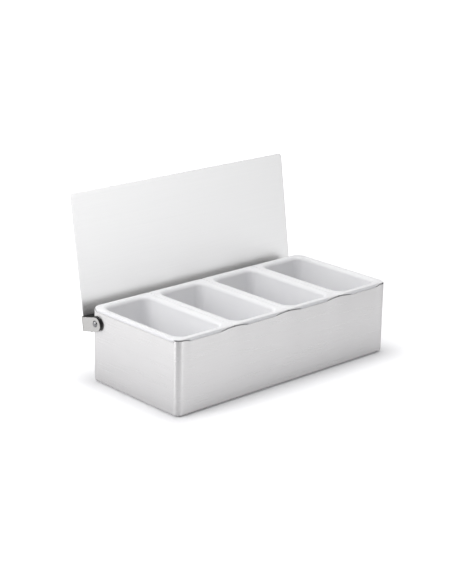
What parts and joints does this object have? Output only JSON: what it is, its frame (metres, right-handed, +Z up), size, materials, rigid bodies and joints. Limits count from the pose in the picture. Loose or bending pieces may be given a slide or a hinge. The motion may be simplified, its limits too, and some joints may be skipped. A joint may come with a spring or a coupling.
{
  "type": "condiment dispenser",
  "caption": "Stainless steel condiment dispenser: a wrapped housing holds white drop-in trays under a flat hinged lid that leans open on black stop blocks.",
  "frame": {"origin": "centre of the housing's plan, on the surface that it stands on", "axes": "+X along the length, towards the right as seen from the front; +Y towards the rear, where the lid turns; +Z up"},
  "size_m": [0.331, 0.1809, 0.206],
  "materials": {
    "housing_steel": "brushed",
    "lid_steel": "brushed",
    "tray_plastic": "gloss",
    "rivet_steel": "polished",
    "washer_nylon": "satin",
    "block_rubber": "matt"
  },
  "bodies": {
    "housing": {"housing_wall": "housing_steel", "base_plate": "housing_steel", "tray_1": "tray_plastic", "tray_2": "tray_plastic", "tray_3": "tray_plastic", "tray_4": "tray_plastic", "pivot_rivet_left": "rivet_steel", "pivot_rivet_right": "rivet_steel", "pivot_washer_left": "washer_nylon", "pivot_washer_right": "washer_nylon", "backing_washer_left": "rivet_steel", "backing_washer_right": "rivet_steel", "stop_block_left": "block_rubber", "stop_block_right": "block_rubber", "stop_rivets_left": "rivet_steel", "stop_rivets_right": "rivet_steel"},
    "lid": {"lid": "lid_steel"}
  },
  "joints": [
    {"name": "lid_hinge", "type": "hinge", "parent": "housing", "child": "lid", "pos_m": [0, 0.0619, 0.0697], "axis": [1, 0, 0], "range_deg": [0, 101.8]}
  ]
}
